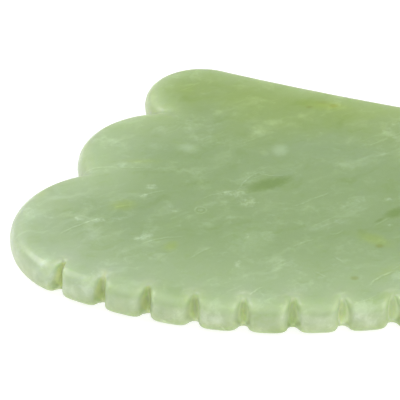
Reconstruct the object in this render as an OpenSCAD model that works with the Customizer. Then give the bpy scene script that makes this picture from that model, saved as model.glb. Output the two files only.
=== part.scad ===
// Gua sha scraper: one flat stone plate with three stepped lobes at the left, a toothed comb edge along
// the front, a long hollow back edge and a rounded horn tip at the right.
// The outline is a chain of arcs that run into one another smoothly, except at the two crotches between
// the lobes. Where two arcs meet, the smaller disc stands proud of the next arc by a hair, so that their
// surfaces cross cleanly and don't just touch.
// Millimetres. +X runs from the lobes to the horn, +Y from the comb edge to the back edge, and +Z is up.
// The origin is the middle of the plate's length and width, on its underside.

/* [Plate] */
// Thickness of the stone
plate_t = 4.4; // [3.5:0.1:6]
// How far the rounding of the rim reaches in over the flat faces
rim_w = 2.1; // [1.2:0.1:2.4]
// Fullness of the rim's section: 2 is a half oval, and more is squarer
rim_fullness = 2.2; // [2:0.1:3]
// Conical bands in each half of the rounded rim
rim_bands = 4; // [2:1:4]

/* [Comb edge] */
// Radius of the comb edge near the lobes
comb_r = 52; // [50:0.2:55]
// Radius of the flatter stretch of the comb edge that runs out to the horn
comb_far_r = 80; // [75:1:95]
// Direction from the comb edge's centre to the first groove, where the first lobe begins
comb_start = -122.3; // [-123:0.1:-120]
// Distance between grooves, along the edge
groove_pitch = 6; // [5.6:0.1:6.4]
// Teeth on the tighter stretch of the comb edge
near_teeth = 5; // [5:1:6]
// Depth of a groove, halfway up the edge
groove_depth = 2.8; // [2.6:0.1:3.2]
// How much deeper a groove gets towards the upper face, as a lean in degrees
groove_lean = 10; // [0:1:12]
// Angle between the two walls of a groove, in degrees
groove_angle = 24; // [18:1:32]
// Width of the floor of a groove, at the upper face
groove_floor = 0.3; // [0.3:0.1:0.5]
// How much each wall leans outwards, so that a groove gets wider towards the underside, in degrees
groove_spread = 3; // [0:1:5]
// Radius of the corners of the teeth
tooth_round = 1.6; // [0.8:0.1:1.6]
// Flat facets that a rounded corner is cut in
tooth_facets = 3; // [2:1:4]

/* [Lobes] */
// Radius of the first lobe, next to the comb edge
lobe_1_r = 12.5; // [11.5:0.1:13.5]
// Radius of the middle lobe
lobe_2_r = 11; // [10:0.1:11.5]
// Radius of the third lobe, next to the back edge
lobe_3_r = 7.6; // [7:0.1:8.5]
// Distance between the centres of the first and middle lobes
lobe_2_step = 17.2; // [16:0.1:18]
// Direction from the first lobe's centre to the middle one's
lobe_2_heading = 69.2; // [67:0.2:72]
// Distance between the centres of the middle and third lobes
lobe_3_step = 16.1; // [15:0.1:17]
// Direction from the middle lobe's centre to the third one's
lobe_3_heading = 72; // [70:0.2:74]

/* [Back edge] */
// Radius of the hollow back edge
back_r = 305; // [280:5:400]
// Direction from the third lobe's centre to the start of the back edge
back_start = 65.5; // [64:0.1:67]

/* [Horn] */
// Radius of the rounded tip
horn_r = 4.6; // [4:0.1:6]

/* [Hidden] */
$fn = 180;
// How far a small disc stands proud of the arc that takes over from it
lap = 0.03;
// How far a cutter runs past the surface that it cuts
over = 1;
// A length that is past the plate in every direction
far = 150;

function dir(a) = [cos(a), sin(a)];
function heading(v) = atan2(v.y, v.x);
// Where two circles cross, on the right-hand side of the way from the first centre to the second
function crossing(c1, r1, c2, r2) =
    let (
        gap = c2 - c1,
        d = norm(gap),
        along = (r1 * r1 - r2 * r2 + d * d) / (2 * d),
        aside = sqrt(r1 * r1 - along * along)
    )
    c1 + (along * gap + aside * [gap.y, -gap.x]) / d;

// Centres of the arcs, measured from the centre of the comb edge's tighter stretch
lobe_1_c = (comb_r - lobe_1_r + lap) * dir(comb_start);
lobe_2_c = lobe_1_c + lobe_2_step * dir(lobe_2_heading);
lobe_3_c = lobe_2_c + lobe_3_step * dir(lobe_3_heading);
back_c = lobe_3_c + (lobe_3_r + back_r - lap) * dir(back_start);

// The comb edge flattens at the groove that ends its tighter stretch
near_turn = near_teeth * groove_pitch / comb_r * 180 / PI;
comb_turn = comb_start + near_turn;
comb_far_c = (comb_r - comb_far_r) * dir(comb_turn);

// The horn touches the comb edge from inside and the back edge from outside
horn_c = crossing(comb_far_c, comb_far_r - horn_r + lap, back_c, back_r + horn_r - lap);
comb_end = heading(horn_c - comb_far_c);
back_end = heading(back_c - horn_c);

// Grooves on the flatter stretch, up to one that leaves a whole tooth before the horn
far_length = (comb_end - comb_turn) * PI / 180 * comb_far_r;
far_grooves = floor(far_length / groove_pitch) - 1;

// Middle of the plate's length and width
plate_mid = [
    (lobe_1_c.x - lobe_1_r + horn_c.x + horn_r) / 2,
    (lobe_3_c.y + lobe_3_r - comb_r) / 2
];

// The rim's section, as the inset from the outline and the height at each break between bands
function rim_inset(a) = rim_w * (1 - pow(cos(a), 2 / rim_fullness));
function rim_height(a) = plate_t / 2 * (1 + sign(a) * pow(abs(sin(a)), 2 / rim_fullness));
rim_angles = [for (i = [-rim_bands : rim_bands]) 90 * i / rim_bands];
// Slope of the last band, as inset for each millimetre of height
rim_last = 90 * (1 - 1 / rim_bands);
rim_slope = (rim_w - rim_inset(rim_last)) / (plate_t - rim_height(rim_last));

// Rounded disc
module disc(c, r) {
    rim = [for (a = rim_angles) [r - rim_inset(a), rim_height(a)]];
    translate(c)
        rotate_extrude()
            polygon(concat([[0, 0]], rim, [[0, plate_t]]));
}

// Cutter that leaves a hollow edge of radius r with the same rounded rim
module hollow(c, r) {
    rim = [for (a = rim_angles) [r + rim_inset(a), rim_height(a)]];
    bands = [for (i = [1 : len(rim) - 2]) rim[i]];
    reach = r + rim_w + rim_slope * over;
    translate(c)
        rotate_extrude()
            polygon(concat([[0, -over], [reach, -over]], bands, [[reach, plate_t + over], [0, plate_t + over]]));
}

// Part of a rounded disc that lies inside an outline
module piece_of_disc(c, r, outline) {
    intersection() {
        disc(c, r);
        translate([0, 0, -over])
            linear_extrude(plate_t + 2 * over)
                polygon(outline);
    }
}

// The plate between the lobes and the horn. Its two pieces follow the two radii of the comb edge and
// overlap inside the plate. At the rim they part in the open part of a groove.
module middle() {
    // Side lean of the pieces' edges, small enough to pass through the floor of a groove
    lean = 5;
    mid_groove = groove_depth / 2;
    start = (comb_r - mid_groove) * dir(comb_start);
    turn = (comb_r - mid_groove) * dir(comb_turn);
    lobe_end = lobe_3_c + (lobe_3_r - over) * dir(back_start);
    horn_front = horn_c + (horn_r - over) * dir(comb_end);
    horn_back = horn_c + (horn_r - over) * dir(back_end);
    difference() {
        union() {
            piece_of_disc([0, 0], comb_r, [
                start + far * dir(comb_start + lean),
                start,
                lobe_2_c - [over, 0],
                lobe_3_c - [over, 0],
                lobe_end,
                lobe_end + far / 2 * dir(back_start),
                turn - far / 2 * dir(comb_turn - lean),
                turn,
                turn + far * dir(comb_turn - lean)
            ]);
            piece_of_disc(comb_far_c, comb_far_r, [
                turn + far * dir(comb_turn + lean),
                turn,
                turn - far / 2 * dir(comb_turn + lean),
                horn_back + far / 2 * dir(back_end),
                horn_back,
                horn_front,
                horn_front + far * dir(comb_end)
            ]);
        }
        hollow(back_c, back_r);
    }
}

module lobes() {
    disc(lobe_1_c, lobe_1_r);
    disc(lobe_2_c, lobe_2_r);
    disc(lobe_3_c, lobe_3_r);
}

module horn() {
    disc(horn_c, horn_r);
}

// Cutter with its mouth at the origin, pointing along -X. It is what two slabs have in common. Each slab
// makes one wall of the groove, and the rounded corner of the tooth on that side.
module groove() {
    wall = groove_angle / 2;
    corner_y = groove_floor / 2 + tooth_round * cos(wall)
        + (groove_depth - tooth_round * (1 - sin(wall))) * tan(wall);
    corner = [
        for (i = [0 : tooth_facets - 1])
            let (a = wall + (90 - wall) * i / tooth_facets)
                [tooth_round * (sin(a) - 1), corner_y - tooth_round * cos(a)]
    ];
    // The last facet runs on past the outline
    before = corner[tooth_facets - 1];
    mouth = before.y + (over - before.x) * (corner_y - before.y) / -before.x;

    // Slab whose wall is on the left, and which ends at a depth
    module slab(depth, side) {
        outline = concat(
            [[-depth, -mouth], [-depth, groove_floor / 2 + (groove_depth - depth) * tan(wall)]],
            corner,
            [[over, mouth], [over, -mouth]]
        );
        rotate([side * groove_spread, 0, 0])
            translate([0, 0, -plate_t - 2 * over])
                linear_extrude(plate_t + 4 * over)
                    polygon([for (p = outline) [p.x, side * p.y]]);
    }

    translate([0, 0, plate_t / 2])
        rotate([0, -groove_lean, 0])
            translate([0, 0, plate_t / 2])
                intersection() {
                    slab(groove_depth, 1);
                    slab(groove_depth + over, -1);
                }
}

module grooves() {
    for (i = [0 : near_teeth]) {
        a = comb_start + i * near_turn / near_teeth;
        translate(comb_r * dir(a))
            rotate(a)
                groove();
    }
    for (i = [1 : far_grooves]) {
        a = comb_turn + i * groove_pitch / comb_far_r * 180 / PI;
        translate(comb_far_c + comb_far_r * dir(a))
            rotate(a)
                groove();
    }
}

module stone_plate() {
    color([0.62, 0.73, 0.54])
        translate(-plate_mid)
            difference() {
                union() {
                    middle();
                    lobes();
                    horn();
                }
                grooves();
            }
}

stone_plate();
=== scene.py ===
import math
import random

import bpy
import numpy as np
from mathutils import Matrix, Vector, kdtree


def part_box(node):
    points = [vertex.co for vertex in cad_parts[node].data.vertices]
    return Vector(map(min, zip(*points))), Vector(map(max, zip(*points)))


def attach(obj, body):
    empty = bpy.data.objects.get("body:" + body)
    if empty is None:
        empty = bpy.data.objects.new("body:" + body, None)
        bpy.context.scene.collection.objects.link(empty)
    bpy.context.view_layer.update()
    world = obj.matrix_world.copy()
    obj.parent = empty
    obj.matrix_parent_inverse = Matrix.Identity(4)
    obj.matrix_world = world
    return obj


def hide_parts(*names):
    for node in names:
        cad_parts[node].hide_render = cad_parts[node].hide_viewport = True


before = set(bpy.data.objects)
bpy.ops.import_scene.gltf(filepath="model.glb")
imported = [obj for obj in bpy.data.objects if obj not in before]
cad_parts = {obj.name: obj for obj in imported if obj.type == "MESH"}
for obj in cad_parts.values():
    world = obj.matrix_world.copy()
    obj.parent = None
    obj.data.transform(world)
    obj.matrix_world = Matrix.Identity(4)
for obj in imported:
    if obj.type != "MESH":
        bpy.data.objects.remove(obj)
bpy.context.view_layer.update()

MM = 0.001
plate_lo, plate_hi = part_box("stone_plate")
plate_size = plate_hi - plate_lo
# Heights of the plate's two faces, in millimetres
UNDERSIDE = plate_lo.z / MM
TOP = plate_hi.z / MM


def new_object(name, data):
    piece = bpy.data.objects.new(name, data)
    bpy.context.scene.collection.objects.link(piece)
    return piece


# ---------------------------------------------------------------- the carved stone

# Size of the even quads that the stone is remeshed to
SKIN = 0.32 * MM
# How many times its points are relaxed, and how far they go each time towards the middle of their neighbours
RELAX_PASSES = 4
RELAX_SHARE = 0.5
# Further passes for the underside of the rim, which round the lower corners of the teeth
LOWER_PASSES = 14
# Heights above the underside up to which those passes work in full, and from which not at all, in millimetres
LOWER_FULL = 0.8
LOWER_END = 2.0
# They draw the rim in a little. This is how far it is moved back out along its normals, in millimetres.
LOWER_SWELL = 0.125
# Passes that would wear the grooves nearly flat. They only serve to tell hollows from ridges.
HOLLOW_PASSES = 100
# A point is on the side of the plate where the upright part of its normal is under this
SIDE_NORMAL = 0.5


def points_of(mesh):
    """Points of a mesh in millimetres, in the row frame."""
    points = np.empty(len(mesh.vertices) * 3)
    mesh.vertices.foreach_get("co", points)
    return points.reshape(-1, 3) / MM


def normals_of(mesh):
    """Normals of a mesh at its points."""
    normals = np.empty(len(mesh.vertices) * 3)
    mesh.vertices.foreach_get("normal", normals)
    return normals.reshape(-1, 3)


def relaxed(piece, passes):
    """Mesh of a piece as its modifiers leave it, with its points relaxed a number of times."""
    relax = piece.modifiers.new("relax", "SMOOTH")
    relax.factor = RELAX_SHARE
    relax.iterations = passes
    depsgraph = bpy.context.evaluated_depsgraph_get()
    mesh = bpy.data.meshes.new_from_object(piece.evaluated_get(depsgraph))
    piece.modifiers.remove(relax)
    return mesh


def relax_lower_rim(mesh):
    """Relaxes the points of a mesh in the lower half of the plate, most near the underside."""
    points = points_of(mesh)
    count = len(points)
    edges = np.empty(len(mesh.edges) * 2, dtype=int)
    mesh.edges.foreach_get("vertices", edges)
    starts, ends = edges[0::2], edges[1::2]
    neighbours = np.bincount(edges, minlength=count)
    give = np.clip((LOWER_END + UNDERSIDE - points[:, 2]) / (LOWER_END - LOWER_FULL), 0, 1)
    for _ in range(LOWER_PASSES):
        for axis in range(3):
            held = points[:, axis]
            total = np.bincount(starts, held[ends], count) + np.bincount(ends, held[starts], count)
            points[:, axis] = held + RELAX_SHARE * give * (total / neighbours - held)
    points += LOWER_SWELL * give[:, None] * normals_of(mesh)
    points[:, 2] = np.maximum(points[:, 2], UNDERSIDE)
    mesh.vertices.foreach_set("co", (points * MM).ravel())
    mesh.update()


def carve_stone():
    """One closed skin over the plate.

    The CAD's bands and bevels are worn round in it, as grinding and polishing leave them.
    """
    piece = new_object("carved_stone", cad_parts["stone_plate"].data.copy())
    skin = piece.modifiers.new("skin", "REMESH")
    skin.mode = "VOXEL"
    skin.voxel_size = SKIN
    mesh = relaxed(piece, RELAX_PASSES)
    relax_lower_rim(mesh)
    piece.modifiers.clear()
    piece.data = mesh
    mesh.shade_smooth()
    return piece


def compare_with_worn(piece, points, normals):
    """How far each point lies under the skin of a well-worn copy, and how much it faces another way.

    The first is in millimetres, above 0 in the grooves and below 0 on the rim. The second is 0 where both
    skins face the same way, and highest on the walls of the grooves.
    """
    worn = relaxed(piece, HOLLOW_PASSES)
    worn_normals = normals_of(worn)
    lift = ((points_of(worn) - points) * worn_normals).sum(axis=1)
    turned = 1 - (normals * worn_normals).sum(axis=1)
    bpy.data.meshes.remove(worn)
    return lift, turned


def rim_distance(points, normals):
    """How far each point lies from the nearest stretch of rim, seen in plan, in millimetres."""
    halfway_up = abs(points[:, 2] - (UNDERSIDE + TOP) / 2) < SKIN / MM
    on_side = abs(normals[:, 2]) < SIDE_NORMAL
    rim = points[halfway_up & on_side]
    tree = kdtree.KDTree(len(rim))
    for i, p in enumerate(rim):
        tree.insert((p[0], p[1], 0), i)
    tree.balance()
    return [tree.find((p[0], p[1], 0))[2] for p in points]


# ---------------------------------------------------------------- markings

# Markings on the left part of the upper face, in millimetres and degrees: x and y of the middle, tilt in
# plan, half length, half width and strength
CLOUDS = [
    (-14.9, 13.0, 10, 1.2, 0.9, 0.6), (-12.4, 12.7, -20, 1.5, 1.1, 0.5), (-14.0, 6.3, 80, 1.3, 0.9, 0.9),
    (-11.4, 5.3, 20, 1.5, 1.0, 0.3), (-20.6, 8.0, 15, 1.8, 0.8, 0.35), (-25.8, 6.8, -30, 1.6, 1.0, 0.8),
    (-30.2, 7.3, -25, 1.3, 0.8, 0.5), (-27.0, 3.5, 5, 3.6, 1.0, 0.4), (-4.5, 2.5, 10, 2.5, 1.4, 0.3),
    (-21.0, -14.0, 30, 4.0, 2.5, 0.3), (-3.5, -5.0, 30, 2.4, 0.9, 0.35), (-30.5, -2.6, 10, 1.1, 0.8, 0.5),
    (-18.1, -14.2, 60, 3.6, 2.6, 0.6), (-5.0, -15.0, 20, 4.0, 1.8, 0.4), (-45.0, -9.0, 60, 3.0, 1.8, 0.4),
]
FLECKS = [
    (-20.8, -3.9, -10, 1.1, 0.6, 0.8), (-19.2, -3.7, 60, 0.9, 0.6, 0.8), (-18.3, -6.0, 20, 1.0, 0.8, 0.9),
    (-30.4, -2.3, 0, 0.5, 0.45, 0.8), (-31.3, -4.4, 30, 0.4, 0.3, 0.9), (-36.6, -10.0, 30, 0.6, 0.35, 1.0),
    (-39.2, -9.7, -30, 0.5, 0.3, 0.8), (-34.1, -9.6, 10, 1.2, 0.3, 0.6), (-42.7, -9.3, 0, 0.7, 0.35, 0.5),
    (-27.4, -8.2, -40, 0.5, 0.2, 0.7), (-27.0, -11.3, 20, 0.3, 0.2, 0.9), (-31.2, -13.7, 30, 0.9, 0.5, 1.0),
    (-18.5, -13.5, 70, 0.4, 0.3, 0.7), (-19.8, -19.5, 80, 0.7, 0.3, 0.8), (-11.5, -2.3, 10, 0.35, 0.25, 0.7),
    (-0.9, -5.3, 20, 0.4, 0.3, 1.0), (-1.0, -11.1, 0, 0.3, 0.2, 1.0), (-24.2, -7.8, 0, 0.25, 0.2, 1.0),
]
PATCHES = [
    (-33.8, -6.7, 10, 1.6, 1.2, 0.9), (-27.8, -15.7, 60, 1.1, 0.8, 0.9), (-3.2, -14.2, -35, 2.2, 1.1, 0.9),
    (-8.0, 17.6, -12, 3.4, 1.2, 0.8), (-24.3, -5.8, 30, 1.6, 0.7, 0.4), (-44.0, -3.9, 50, 1.4, 0.9, 0.5),
    (-31.5, 3.6, 0, 3.5, 0.7, 0.6), (-2.0, -21.0, 40, 2.4, 1.2, 0.5),
]
SHADES = [
    (-15.6, -1.8, 29, 2.9, 1.1, 1.0), (-0.2, -8.4, 40, 1.6, 0.9, 0.9), (-2.2, -10.0, 40, 1.2, 0.35, 0.7),
    (-24.5, -1.6, 12, 4.0, 1.0, 0.5), (-18.0, -1.6, 20, 3.0, 0.5, 0.5), (-31.0, 1.0, 0, 4.0, 0.5, 0.5),
    (-6.0, 12.5, 80, 2.6, 0.8, 0.5), (-26.0, 13.0, 10, 4.0, 2.2, 0.45), (-33.5, -17.4, 30, 4.2, 2.4, 0.45),
    (-15.3, 2.0, 10, 3.0, 0.9, 0.4),
]
SPECKS = [
    (-14.6, -9.6, 0, 0.25, 0.2, 0.7), (-2.6, -15.7, 0, 0.45, 0.35, 1.0), (-6.0, -22.4, 0, 0.4, 0.35, 1.0),
    (-9.8, 17.1, 0, 0.4, 0.35, 0.8), (-6.6, 17.4, 0, 0.5, 0.4, 1.0), (-8.0, 18.3, 0, 0.8, 0.4, 0.6),
]
# Veins have how far they bow to one side in place of a half width
VEINS = [
    (-38.9, -11.3, 36, 2.8, 0.3, 0.9), (-30.0, -3.9, 25, 1.8, 0.2, 0.6), (-28.8, -14.3, 17, 2.6, 0.3, 0.7),
    (-24.2, -17.1, 43, 1.8, 0.2, 0.6), (-17.9, -0.7, 52, 2.4, 0.4, 0.7), (-15.4, 0.6, -8, 2.0, -0.3, 0.6),
    (-22.3, -4.4, 25, 2.0, 0.3, 0.5), (-9.4, -4.5, 32, 1.4, -0.2, 0.7), (-11.6, -6.1, 32, 1.4, -0.2, 0.6),
    (-7.7, -12.7, 28, 1.0, -0.2, 0.6), (-11.7, -15.0, 31, 1.6, 0.2, 0.6), (-7.7, -18.5, -52, 1.0, 0.1, 0.5),
    (-2.8, -22.3, 44, 1.9, 0.2, 0.9), (-9.9, -21.7, -40, 1.1, 0.1, 0.5), (-17.7, -25.0, 42, 1.1, 0.1, 0.8),
    (-34.8, 2.0, 0, 4.6, 0.2, 0.5), (-1.9, -10.4, 40, 1.4, 0.1, 0.7), (-33.8, -6.8, 12, 1.0, 0.0, 0.9),
]
# A tiny ring of white specks: x, y, radius, strength
CURL = (-24.2, -7.8, 0.7, 0.8)

PLACED = {"cloud": CLOUDS, "fleck": FLECKS, "patch": PATCHES, "shade": SHADES, "speck": SPECKS}
# Markings scattered where none are placed: how many, and the ranges of their half lengths, half widths
# (or bows) and strengths
SCATTERED = {
    "cloud": (42, (1.0, 3.0), (0.8, 1.6), (0.3, 0.8)),
    "fleck": (66, (0.3, 0.9), (0.2, 0.5), (0.5, 1.0)),
    "patch": (27, (1.0, 3.2), (0.8, 1.4), (0.5, 0.9)),
    "shade": (24, (1.2, 3.6), (0.5, 1.2), (0.5, 1.0)),
    "speck": (24, (0.2, 0.5), (0.2, 0.4), (0.6, 1.0)),
    "vein": (60, (0.9, 2.8), (-0.3, 0.3), (0.5, 0.9)),
}
SCATTERED_TILT = (10, 50)
SEED = 5

# Half depth of a blob in millimetres, and how many times its half sizes it ends at
BLOB_HALF_DEPTH = 2
BLOB_END = 2
# Depth of a vein in millimetres. It fades near its ends, and is gone before this many times its half length.
VEIN_DEPTH = 1.5
VEIN_END = 1.2
# The offset that stands for no vein nearby, and how far the ring's offset is stored, in millimetres
NO_VEIN = 9.0
CURL_REACH = 0.6


def on_top(marks):
    """Placed markings with the height of the upper face put in."""
    return [(x, y, TOP, *rest) for x, y, *rest in marks]


def scatter(rng, count, length, width, strength):
    """Random markings, two out of three on the underside, the others on the right half of the upper face."""
    marks = []
    for i in range(count):
        under = i % 3 > 0
        x = rng.uniform(plate_lo.x / MM if under else 0, plate_hi.x / MM)
        y = rng.uniform(plate_lo.y / MM, plate_hi.y / MM)
        rest = [rng.uniform(*span) for span in (SCATTERED_TILT, length, width, strength)]
        marks.append((x, y, UNDERSIDE if under else TOP, *rest))
    return marks


def beside(points, mark):
    """How far points lie along and across a marking, and off its face."""
    x, y, z, tilt = mark[:4]
    c, s = math.cos(math.radians(tilt)), math.sin(math.radians(tilt))
    dx, dy = points[:, 0] - x, points[:, 1] - y
    return dx * c + dy * s, dy * c - dx * s, points[:, 2] - z


def blobs(points, marks):
    """Strongest of a set of oval blobs at each point. A blob weakens evenly from its middle to its end."""
    field = np.zeros(len(points))
    for mark in marks:
        along, across, off = beside(points, mark)
        length, width, strength = mark[4:]
        reach = np.sqrt((along / length) ** 2 + (across / width) ** 2 + (off / BLOB_HALF_DEPTH) ** 2)
        field = np.maximum(field, strength * (1 - reach / BLOB_END))
    return field


def veins(points, marks):
    """Signed distance across the nearest of a set of fine bowed lines, and how strong that line is there."""
    offset = np.full(len(points), NO_VEIN)
    strength = np.zeros(len(points))
    for mark in marks:
        along, across, off = beside(points, mark)
        length, bow, full = mark[4:]
        reach = along / length
        across = across - bow * (1 - reach ** 2)
        near = (abs(reach) < VEIN_END) & (abs(off) < VEIN_DEPTH) & (abs(across) < abs(offset))
        offset[near] = across[near]
        strength[near] = full * np.clip(VEIN_END - abs(reach[near]) ** 3, 0, 1)
    x, y, radius, full = CURL
    across = np.hypot(points[:, 0] - x, points[:, 1] - y) - radius
    near = (abs(across) < CURL_REACH) & (points[:, 2] > TOP - VEIN_DEPTH)
    offset[near] = across[near]
    strength[near] = full
    return offset, strength


def add_field(mesh, name, values):
    mesh.attributes.new(name, "FLOAT", "POINT").data.foreach_set("value", values)


def mark_stone(piece):
    """Stores the rim, the hollows and the markings as fields on the mesh, for the material to read."""
    mesh = piece.data
    points, normals = points_of(mesh), normals_of(mesh)
    hollow, turned = compare_with_worn(piece, points, normals)
    add_field(mesh, "hollow", hollow)
    add_field(mesh, "turned", turned)
    add_field(mesh, "rim_distance", rim_distance(points, normals))
    rng = random.Random(SEED)
    for name, placed in PLACED.items():
        add_field(mesh, name, blobs(points, on_top(placed) + scatter(rng, *SCATTERED[name])))
    offset, strength = veins(points, on_top(VEINS) + scatter(rng, *SCATTERED["vein"]))
    add_field(mesh, "vein_offset", offset)
    add_field(mesh, "vein_strength", strength)


# ---------------------------------------------------------------- materials


class Nodes:
    """A few short ways to write a node tree."""

    def __init__(self, material):
        material.use_nodes = True
        self.tree = material.node_tree
        self.bsdf = self.tree.nodes["Principled BSDF"]

    def add(self, kind, inputs=None, **settings):
        node = self.tree.nodes.new("ShaderNode" + kind)
        for name, value in settings.items():
            setattr(node, name, value)
        for name, value in (inputs or {}).items():
            self.feed(node.inputs[name], value)
        return node

    def feed(self, socket, value):
        if isinstance(value, bpy.types.NodeSocket):
            self.tree.links.new(value, socket)
        else:
            socket.default_value = value

    def set(self, name, value):
        self.feed(self.bsdf.inputs[name], value)

    def math(self, operation, a, b=0.0):
        return self.add("Math", {0: a, 1: b}, operation=operation).outputs[0]

    def plus(self, first, *others):
        for value in others:
            first = self.math("ADD", first, value)
        return first

    def times(self, first, *others):
        for value in others:
            first = self.math("MULTIPLY", first, value)
        return first

    def centred(self, value):
        """value, which runs from 0 to 1, moved so that its middle is at 0."""
        return self.math("SUBTRACT", value, 0.5)

    def size_of(self, value):
        """value without its sign."""
        return self.math("ABSOLUTE", value)

    def vector(self, operation, a, b):
        return self.add("VectorMath", {0: a, 1: b}, operation=operation).outputs[0]

    def ramp(self, value, low, high, to_low=0.0, to_high=1.0):
        """Smooth step from to_low to to_high as value goes from low to high."""
        return self.add("MapRange", {
            "Value": value, "From Min": low, "From Max": high, "To Min": to_low, "To Max": to_high,
        }, interpolation_type="SMOOTHSTEP").outputs[0]

    def noise(self, where, scale, detail=3.0, roughness=0.5):
        return self.add("TexNoise", {
            "Vector": where, "Scale": scale, "Detail": detail, "Roughness": roughness,
        }).outputs[0]

    def stretched(self, where, turn, size):
        """where, for a pattern that is turned in plan by a number of degrees and stretched along its axes."""
        return self.add("Mapping", {
            "Vector": where, "Rotation": (0, 0, math.radians(turn)), "Scale": size,
        }, vector_type="TEXTURE").outputs[0]

    def mix(self, factor, a, b, blend="MIX"):
        node = self.add("Mix", {0: factor}, data_type="RGBA", blend_type=blend)
        # A Mix node has sockets for every type of data. These are the ones for colours.
        self.feed(node.inputs[6], a)
        self.feed(node.inputs[7], b)
        return node.outputs[2]

    def tint(self, colour, amount, by):
        """colour, with up to the whole of its red, green and blue multiplied by those of a tint."""
        return self.mix(amount, colour, (*by, 1), "MULTIPLY")


class StoneNodes(Nodes):
    """Node tree of the stone, with what its layers share.

    Places are in millimetres, and the scale of a pattern is per millimetre.
    """

    def __init__(self, material):
        super().__init__(material)
        metres = self.add("TexCoord").outputs["Object"]
        self.mm = self.vector("MULTIPLY", metres, (1 / MM, 1 / MM, 1 / MM))
        self.x, self.y, self.z = self.add("SeparateXYZ", {"Vector": self.mm}).outputs
        self.soft = self.warped(0.25, 5)
        self.ragged = self.warped(0.9, 1.6, 4.0)
        self.fine = self.warped(0.6, 0.7)
        # The grain runs at about 30 degrees across the plate. Stretched along it, a pattern becomes streaks.
        self.streaky = self.stretched(self.soft, 25, (2.2, 1, 1.5))
        self.hair = self.stretched(self.fine, 34, (9, 1, 2))
        self.rough_edge = self.centred(self.noise(self.mm, 1.6, 5, 0.7))
        self.cloudy = self.noise(self.ragged, 0.30, 5, 0.65)
        self.broken = self.ramp(self.noise(self.mm, 1.6, 3, 0.6), 0.38, 0.58, 0.35, 1)
        self.rim = self.field("rim_distance")
        self.hollow = self.field("hollow")

    def warped(self, scale, amount, detail=2.0):
        """Place that is pushed about by up to half an amount, in swirls of a scale."""
        swirls = self.add("TexNoise", {"Vector": self.mm, "Scale": scale, "Detail": detail}).outputs["Color"]
        push = self.vector("SUBTRACT", swirls, (0.5, 0.5, 0.5))
        return self.vector("ADD", self.mm, self.vector("MULTIPLY", push, (amount, amount, amount)))

    def field(self, name):
        return self.add("Attribute", attribute_name=name).outputs["Fac"]


# Colours of the stone's body and of its thin edge, before the mottling and the markings. The edge colours
# hold painted light and shade.
BODY = (0.322, 0.450, 0.206, 1)
YELLOW_BODY = (0.343, 0.474, 0.149, 1)
COOL_BODY = (0.343, 0.465, 0.255, 1)
# Brim colours: paler than the body, painted light for the light that shines through the thin edge; the yellow
# one keeps the stone's yellower tone
BRIM_PAINTED_LIGHT = (0.640, 0.745, 0.520, 1)
INNER_BRIM_PAINTED_LIGHT = (0.590, 0.740, 0.455, 1)
YELLOW_BRIM_PAINTED_LIGHT = (0.460, 0.600, 0.220, 1)
# Side colours: paler than the body, painted light through the thin rim
SIDE_PAINTED_LIGHT = (0.455, 0.520, 0.345, 1)
PALE_SIDE_PAINTED_LIGHT = (0.550, 0.605, 0.450, 1)
# Painted shade: a duller edge on the front left, where the left softbox lights it most
FRONT_LEFT_PAINTED_SHADE = (0.600, 0.690, 0.570, 1)
# Olive, and darker than the side: the olive is the stone's tone, the darkening painted shade near the floor
LOW_EDGE_OLIVE_SHADE = (0.370, 0.420, 0.170, 1)
# Groove colours: much lighter than the rim, painted fill light for the shade in the grooves, less of it on
# the left
GROOVE_PAINTED_LIGHT = (0.740, 0.810, 0.620, 1)
GROOVE_FLOOR_PAINTED_LIGHT = (0.700, 0.760, 0.540, 1)
LEFT_GROOVE_PAINTED_LIGHT = (0.610, 0.670, 0.390, 1)


def yellowness(n):
    """Where the stone is yellower: towards the back edge, more so on the right, and in slow drifts."""
    drift = n.noise(n.soft, 0.055, 3)
    further_right = n.ramp(n.x, -12, 5, 0, 7)
    back = n.plus(n.y, further_right, n.times(n.centred(drift), 24))
    return n.math("MAXIMUM", n.ramp(back, 5, 21), n.ramp(drift, 0.58, 0.78, 0, 0.7))


def body_colour(n, yellow):
    """Cool grey-green, and yellower in places."""
    cool = n.ramp(n.noise(n.streaky, 0.12, 3), 0.46, 0.72, 0, 0.5)
    return n.mix(cool, n.mix(yellow, BODY, YELLOW_BODY), COOL_BODY)


def groove_area(n):
    """1 on the floors and walls of the grooves, where painted fill light lifts their shade. The crotches
    between the lobes are left out by at_comb.
    """
    hollow_or_wall = n.math("MAXIMUM", n.ramp(n.hollow, -0.28, 0.0), n.ramp(n.field("turned"), 0.15, 0.5))
    at_comb = n.ramp(n.math("SUBTRACT", n.y, n.times(n.x, 0.5)), 14, 8)
    return n.times(hollow_or_wall, n.ramp(n.rim, 1.2, 0.4), at_comb)


def side_area(n):
    """1 on the side of the rim, and 0 on both faces."""
    off_middle = n.size_of(n.math("SUBTRACT", n.z, (TOP - UNDERSIDE) / 2))
    return n.ramp(off_middle, 2.15, 0.6)


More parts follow.
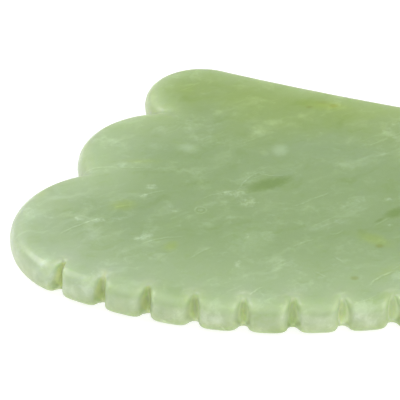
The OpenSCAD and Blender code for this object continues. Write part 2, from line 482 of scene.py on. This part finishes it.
def edge_colour(n, yellow, on_side, groove_light_mask):
    """Colour of the rim and the teeth: paler than the body as painted light through the thin stone, olive low
    down with painted shade there, and lighter in the grooves as painted fill light.
    """
    # Painted light: the brim and the side are paler than the body, for the light through the thin stone
    brim = n.mix(n.ramp(n.rim, 0.5, 3), BRIM_PAINTED_LIGHT, INNER_BRIM_PAINTED_LIGHT)
    brim = n.mix(n.times(yellow, n.ramp(n.x, -34, -12, 0, 0.4)), brim, YELLOW_BRIM_PAINTED_LIGHT)
    side = n.mix(n.ramp(n.cloudy, 0.35, 0.65), SIDE_PAINTED_LIGHT, PALE_SIDE_PAINTED_LIGHT)
    # Painted shade on the front left edge, against the strong light from the left softbox
    front_left_shade = n.times(n.ramp(n.x, -22, -40), n.ramp(n.y, 2, -8, 0, 0.4))
    edge = n.mix(front_left_shade, n.mix(on_side, brim, side), FRONT_LEFT_PAINTED_SHADE)
    # Olive and darker towards the underside: the olive is the stone's tone, the darkening painted shade near
    # the floor
    low = n.ramp(n.plus(n.z, n.times(n.rough_edge, 2)), 2.6, 0.4, 0, 0.8)
    edge = n.mix(low, edge, LOW_EDGE_OLIVE_SHADE)
    # Painted fill light on the grooves' walls and floors, less of it on the left
    groove = n.mix(n.ramp(n.hollow, 0.0, 0.3), GROOVE_PAINTED_LIGHT, GROOVE_FLOOR_PAINTED_LIGHT)
    groove = n.mix(n.ramp(n.x, -14, -34), groove, LEFT_GROOVE_PAINTED_LIGHT)
    return n.mix(groove_light_mask, edge, groove)


def edge_share(n, on_side, groove_light_mask):
    """How much of the edge's colour, with its painted light, shows. It fades out inwards, over 13 mm in front
    and 6 mm at the back.
    """
    faded = n.ramp(n.math("DIVIDE", n.rim, n.ramp(n.y, 6, 18, 13, 6)), 0, 1, 1, 0)
    # Painted light: the pale edge colour reaches further in near the left lobes, for the light from the left,
    # and along the back edge
    painted_left_light = n.ramp(n.math("SUBTRACT", n.x, n.times(n.y, 0.5)), -20, -42, 0.40, 0.62)
    most = n.math("MAXIMUM", painted_left_light, n.ramp(n.y, 6, 18, 0, 0.55))
    share = n.math("MAXIMUM", n.times(faded, most), n.times(on_side, 0.6))
    # More of the edge colour in the grooves, as painted fill light
    return n.plus(share, n.times(groove_light_mask, 0.38))


def mottled(n, colour):
    """Mottling, from thumbnail size down to grains, that lightens or darkens whatever lies under it."""
    mottle = n.noise(n.streaky, 0.35, 4, 0.6)
    grains = n.noise(n.mm, 2.2, 4, 0.7)
    # Pattern, the values at which its tint begins and is full, how much of the tint shows then, and the tint
    layers = [
        (mottle, 0.50, 0.75, 0.6, (1.30, 1.25, 1.45)),
        (mottle, 0.48, 0.25, 0.6, (0.83, 0.88, 0.65)),
        (n.cloudy, 0.52, 0.74, 0.6, (1.36, 1.30, 1.55)),
        (n.cloudy, 0.45, 0.25, 0.5, (0.90, 0.95, 0.68)),
        (grains, 0.55, 0.80, 0.2, (1.45, 1.38, 1.65)),
        (grains, 0.45, 0.20, 0.2, (0.79, 0.84, 0.67)),
    ]
    for pattern, begin, full, most, tint in layers:
        colour = n.tint(colour, n.ramp(pattern, begin, full, 0, most), tint)
    return colour


def lined(n, colour):
    """Hairlines along the grain in some places, and veins that each have a darker line beside them."""
    hairline = n.ramp(n.size_of(n.centred(n.noise(n.hair, 0.55, 1.5))), 0.020, 0.006)
    somewhere = n.ramp(n.noise(n.soft, 0.16, 2), 0.55, 0.72, 0, 0.25)
    colour = n.tint(colour, n.times(hairline, somewhere), (1.54, 1.46, 1.75))
    sway = n.times(n.centred(n.noise(n.mm, 0.8, 2)), 0.5)
    across = n.plus(n.field("vein_offset"), sway)
    strength = n.times(n.field("vein_strength"), n.broken)
    dark = n.ramp(n.size_of(n.plus(across, 0.24)), 0.20, 0.04, 0, 0.4)
    colour = n.tint(colour, n.times(dark, strength), (0.76, 0.82, 0.62))
    light = n.ramp(n.size_of(across), 0.18, 0.04, 0, 0.5)
    return n.tint(colour, n.times(light, strength), (1.60, 1.48, 1.85))


def marked(n, colour):
    """Patches, shades, clouds, flecks and specks with ragged edges. The flecks are broken up as well."""
    # Field and how ragged its edge is, the values at which its tint begins and is full, how much of the
    # tint shows then, and the tint
    layers = [
        ("patch", 0.5, 0.20, 0.80, 0.65, (1.07, 1.06, 0.58)),
        ("shade", 0.4, 0.25, 0.75, 0.85, (0.68, 0.76, 0.44)),
        ("cloud", 0.5, 0.15, 0.80, 0.70, (1.42, 1.35, 1.70)),
        ("fleck", 1.2, 0.10, 0.90, 0.70, (1.60, 1.46, 1.95)),
        ("speck", 0.5, 0.10, 0.80, 0.75, (0.80, 0.74, 0.44)),
    ]
    for name, raggedness, begin, full, most, tint in layers:
        field = n.plus(n.field(name), n.times(n.rough_edge, raggedness))
        amount = n.ramp(field, begin, full, 0, most)
        if name == "fleck":
            amount = n.times(amount, n.broken)
        colour = n.tint(colour, amount, tint)
    return colour


def relief(n):
    """Slow waves of hand grinding, fine scratches from polishing and a few pits, in millimetres."""
    waves = n.times(n.noise(n.mm, 0.16, 2), 0.05)
    scratched = n.stretched(n.fine, -18, (12, 1, 3))
    scratches = n.ramp(n.size_of(n.centred(n.noise(scratched, 1.1, 2))), 0.015, 0.0, 0, -0.003)
    pits = n.ramp(n.noise(n.mm, 2.6, 1), 0.76, 0.84, 0, -0.012)
    return n.add("Bump", {"Height": n.plus(waves, scratches, pits), "Distance": MM}).outputs[0]


def stone_material():
    mat = bpy.data.materials.new("jade_stone")
    n = StoneNodes(mat)
    yellow, on_side, groove_light_mask = yellowness(n), side_area(n), groove_area(n)
    edge = edge_colour(n, yellow, on_side, groove_light_mask)
    colour = n.mix(edge_share(n, on_side, groove_light_mask), body_colour(n, yellow), edge)
    n.set("Base Color", marked(n, lined(n, mottled(n, colour))))
    n.set("Normal", relief(n))
    # Below about 0.27, the denoiser leaves dark squiggles on the stone
    n.set("Roughness", n.ramp(n.noise(n.ragged, 0.8, 4), 0.3, 0.7, 0.29, 0.37))
    n.set("IOR", 1.62)
    n.set("Subsurface Weight", 0.85)
    n.set("Subsurface Radius", (1.0, 1.1, 0.5))
    n.set("Subsurface Scale", 3.2 * MM)
    return mat


def floor_material():
    """Grey under the lights and glowing a little, so that it comes out white with a faint shadow."""
    mat = bpy.data.materials.new("pale_floor")
    n = Nodes(mat)
    n.set("Base Color", (0.4, 0.4, 0.4, 1))
    n.set("Roughness", 0.8)
    n.set("Specular IOR Level", 0.2)
    n.set("Emission Color", (1, 1, 1, 1))
    n.set("Emission Strength", 0.8)
    return mat


# ---------------------------------------------------------------- stage


def add_floor():
    half = 3.0
    mesh = bpy.data.meshes.new("floor")
    corners = [(-half, -half, 0), (half, -half, 0), (half, half, 0), (-half, half, 0)]
    mesh.from_pydata(corners, [], [(0, 1, 2, 3)])
    mesh.materials.append(floor_material())
    floor = new_object("floor", mesh)
    floor.location.z = plate_lo.z


def add_softbox(name, azimuth, elevation, distance, size, power):
    """Square area light that faces the plate. Azimuth 0 is in front, and grows towards the right."""
    light = bpy.data.lights.new(name, "AREA")
    light.shape = "SQUARE"
    light.size = size
    light.energy = power
    lamp = new_object(name, light)
    a, e = math.radians(azimuth), math.radians(elevation)
    away = Vector((math.sin(a) * math.cos(e), -math.cos(a) * math.cos(e), math.sin(e)))
    lamp.location = away * distance
    lamp.rotation_euler = away.to_track_quat("Z", "Y").to_euler()


def add_world(level):
    """Even light of a level from all around. The camera itself sees white there."""
    world = bpy.data.worlds.new("studio")
    world.use_nodes = True
    nodes, links = world.node_tree.nodes, world.node_tree.links
    background = nodes["Background"]
    background.inputs["Color"].default_value = (1, 1, 1, 1)
    level_or_white = nodes.new("ShaderNodeMapRange")
    level_or_white.inputs["To Min"].default_value = level
    links.new(nodes.new("ShaderNodeLightPath").outputs["Is Camera Ray"], level_or_white.inputs["Value"])
    links.new(level_or_white.outputs[0], background.inputs["Strength"])
    bpy.context.scene.world = world


def add_camera():
    """Close view from the front, above the comb edge, with the horn end out of the frame."""
    elevation = math.radians(33)
    distance = 300 * MM
    # Where the middle of the picture falls, as shares of the plate's length and width
    along, across = 0.2454, 0.5223
    aim = plate_lo + Vector((along * plate_size.x, across * plate_size.y, 0))
    away = Vector((0, -math.cos(elevation), math.sin(elevation)))
    camera = bpy.data.cameras.new("camera")
    camera.sensor_width = 36
    camera.lens = 211.5
    camera.clip_start = 0.01
    eye = new_object("camera", camera)
    eye.location = aim + away * distance
    eye.rotation_euler = away.to_track_quat("Z", "Y").to_euler()
    bpy.context.scene.camera = eye


# ---------------------------------------------------------------- build

stone = carve_stone()
mark_stone(stone)
stone.data.materials.clear()
stone.data.materials.append(stone_material())
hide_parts("stone_plate")
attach(stone, "root")

add_floor()
add_world(0.42)
add_softbox("left_softbox", azimuth=-105, elevation=45, distance=0.8, size=0.45, power=2.25)
add_softbox("right_softbox", azimuth=60, elevation=35, distance=0.8, size=0.5, power=2.3)
add_softbox("front_softbox", azimuth=0, elevation=60, distance=1.0, size=1.2, power=2.4)
add_camera()
bpy.context.scene.view_settings.view_transform = "Standard"
